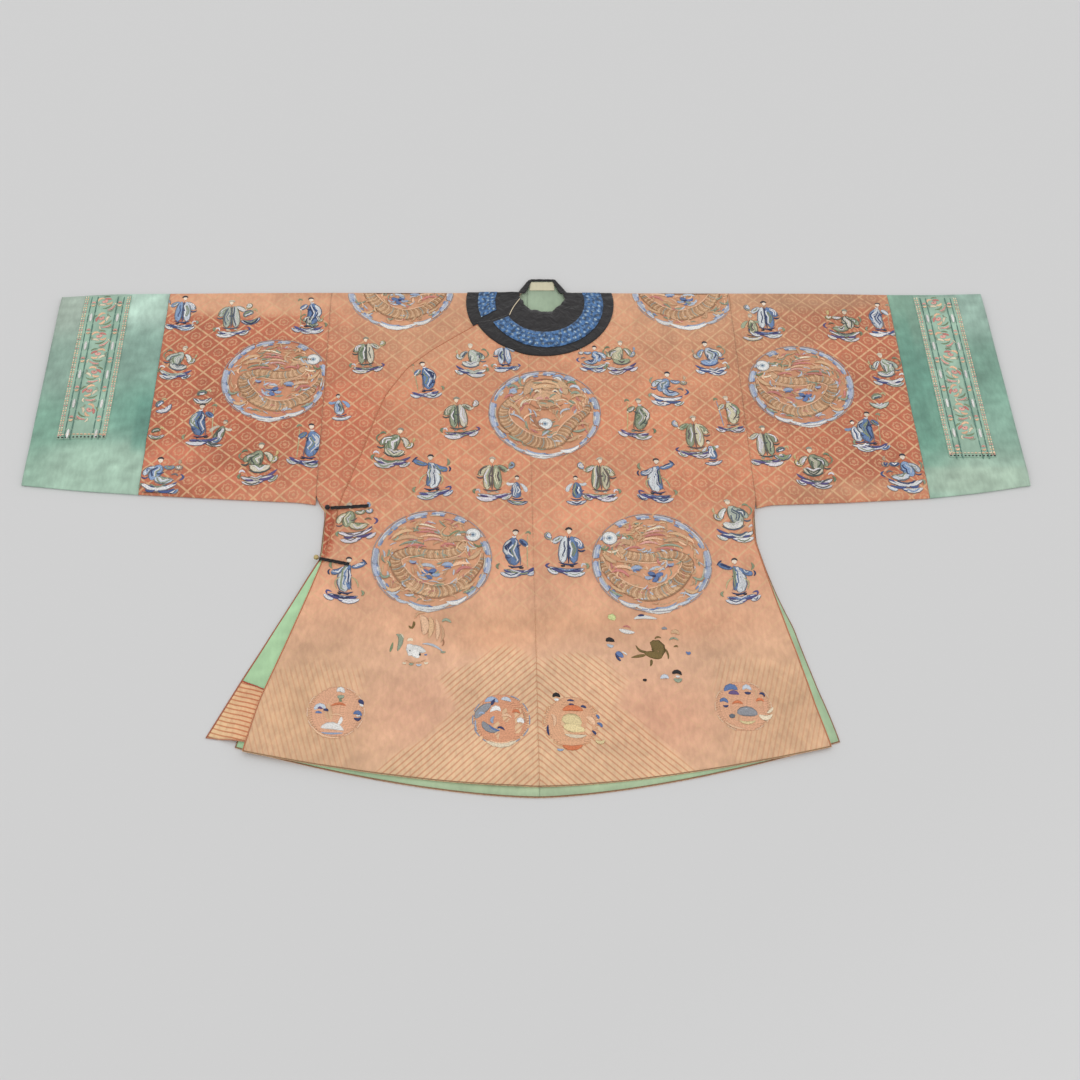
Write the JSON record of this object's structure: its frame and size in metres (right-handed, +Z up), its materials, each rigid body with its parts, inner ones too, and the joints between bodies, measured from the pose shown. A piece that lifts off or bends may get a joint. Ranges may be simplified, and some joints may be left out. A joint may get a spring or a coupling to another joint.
{
  "type": "chinese dragon robe laid flat",
  "caption": "Silk robe with side closing, round collar facing, wide sleeves with cuffs and an under flap, laid flat on its back.",
  "frame": {"origin": "under the middle of the laid garment's box, on the surface it rests on", "axes": "+X towards the wearer's left cuff, +Y towards the collar, +Z up from the surface"},
  "size_m": [1.6532, 1.0294, 0.0149],
  "materials": {
    "silk": "figured silk, faded orange-coral, embroidered",
    "lining": "plain woven, soft mint green",
    "cuff_silk": "green figured silk, worn",
    "band_silk": "pale embroidered strip",
    "satin": "black satin, soft sheen",
    "ribbon": "woven blue ribbon with small flowers",
    "label": "bare cream cotton",
    "brass": "worn cast brass"
  },
  "bodies": {
    "root": {"back_left": "silk", "back_right": "silk", "back_lining_left": "lining", "back_lining_right": "lining", "front_left": "silk", "front_overlap": "silk", "under_front": "silk", "underlap_plain": "lining", "underlap_border": "silk", "sleeve_right": "silk", "sleeve_left": "silk", "cuff_right": "cuff_silk", "cuff_left": "cuff_silk", "cuff_band_right": "band_silk", "cuff_band_left": "band_silk", "neck_facing": "satin", "neck_ribbon": "ribbon", "neck_facing_under": "satin", "neck_ribbon_under": "ribbon", "neck_label": "label", "neck_binding": "satin", "neck_loop": "label", "toggle_upper_knot": "satin", "toggle_upper_cord": "satin", "toggle_lower_knot": "brass", "toggle_lower_cord": "satin"}
  },
  "joints": []
}
